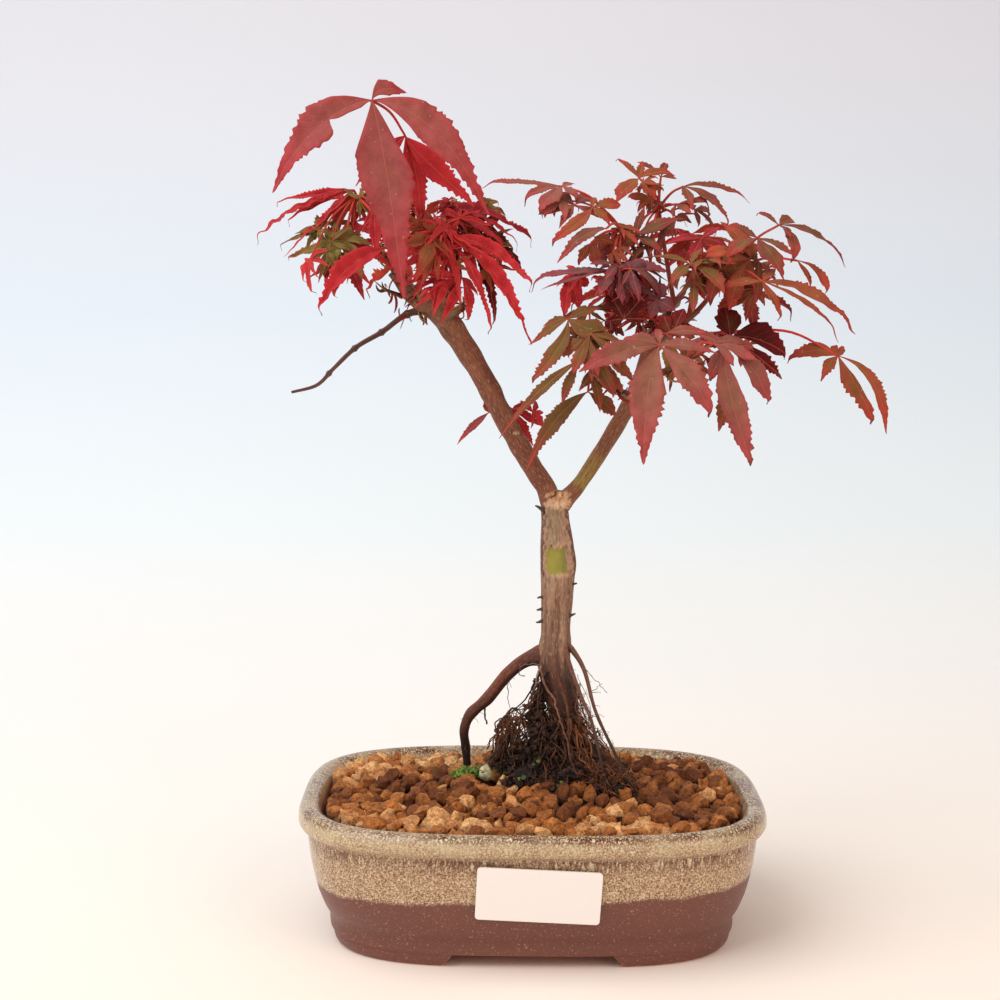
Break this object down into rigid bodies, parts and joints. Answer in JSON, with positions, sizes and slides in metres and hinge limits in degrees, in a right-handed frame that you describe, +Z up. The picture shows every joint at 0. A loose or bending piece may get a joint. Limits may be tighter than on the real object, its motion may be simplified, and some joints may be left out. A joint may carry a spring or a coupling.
{
  "type": "maple bonsai in a glazed oval pot",
  "caption": "Small Japanese maple bonsai with exposed roots, a forked trunk and sparse red palmate leaves, planted in clay granules in a glazed oval pot on corner feet.",
  "frame": {"origin": "under the middle of the whole bonsai's bounding box, on the surface that the pot's feet stand on", "axes": "+X to the right along the pot's length, +Y away from the front with the plant card, +Z up"},
  "size_m": [0.2412, 0.1298, 0.3245],
  "materials": {
    "glazed_pot": "satin",
    "clay_granules": "matte",
    "drain_mesh": "matte",
    "bark": "matte",
    "roots_and_peat": "matte",
    "pebble": "matte",
    "card": "satin",
    "leaf_rose": "matte",
    "leaf_scarlet": "matte",
    "leaf_crimson": "matte",
    "leaf_maroon": "matte",
    "leaf_purple": "matte",
    "leaf_olive": "matte",
    "leaf_orange": "matte"
  },
  "bodies": {
    "root": {"pot": "glazed_pot", "soil": "clay_granules", "drain_mesh_left": "drain_mesh", "drain_mesh_right": "drain_mesh", "trunk": "bark", "root_ball": "roots_and_peat", "pebble": "pebble", "label_card": "card", "spray_left_top": "leaf_rose", "spray_left_outer": "leaf_scarlet", "spray_left_front": "leaf_orange", "spray_left_inner": "leaf_crimson", "spray_left_back": "leaf_crimson", "spray_right_front": "leaf_rose", "spray_right_low": "leaf_olive", "spray_right_west": "leaf_rose", "spray_right_fall": "leaf_purple", "spray_right_top": "leaf_orange", "spray_right_outer": "leaf_rose", "spray_right_far": "leaf_maroon", "spray_right_centre": "leaf_maroon", "spray_right_middle": "leaf_olive", "spray_right_back_low": "leaf_crimson", "spray_right_back_high": "leaf_crimson", "spray_stem_shoot": "leaf_scarlet"}
  },
  "joints": []
}
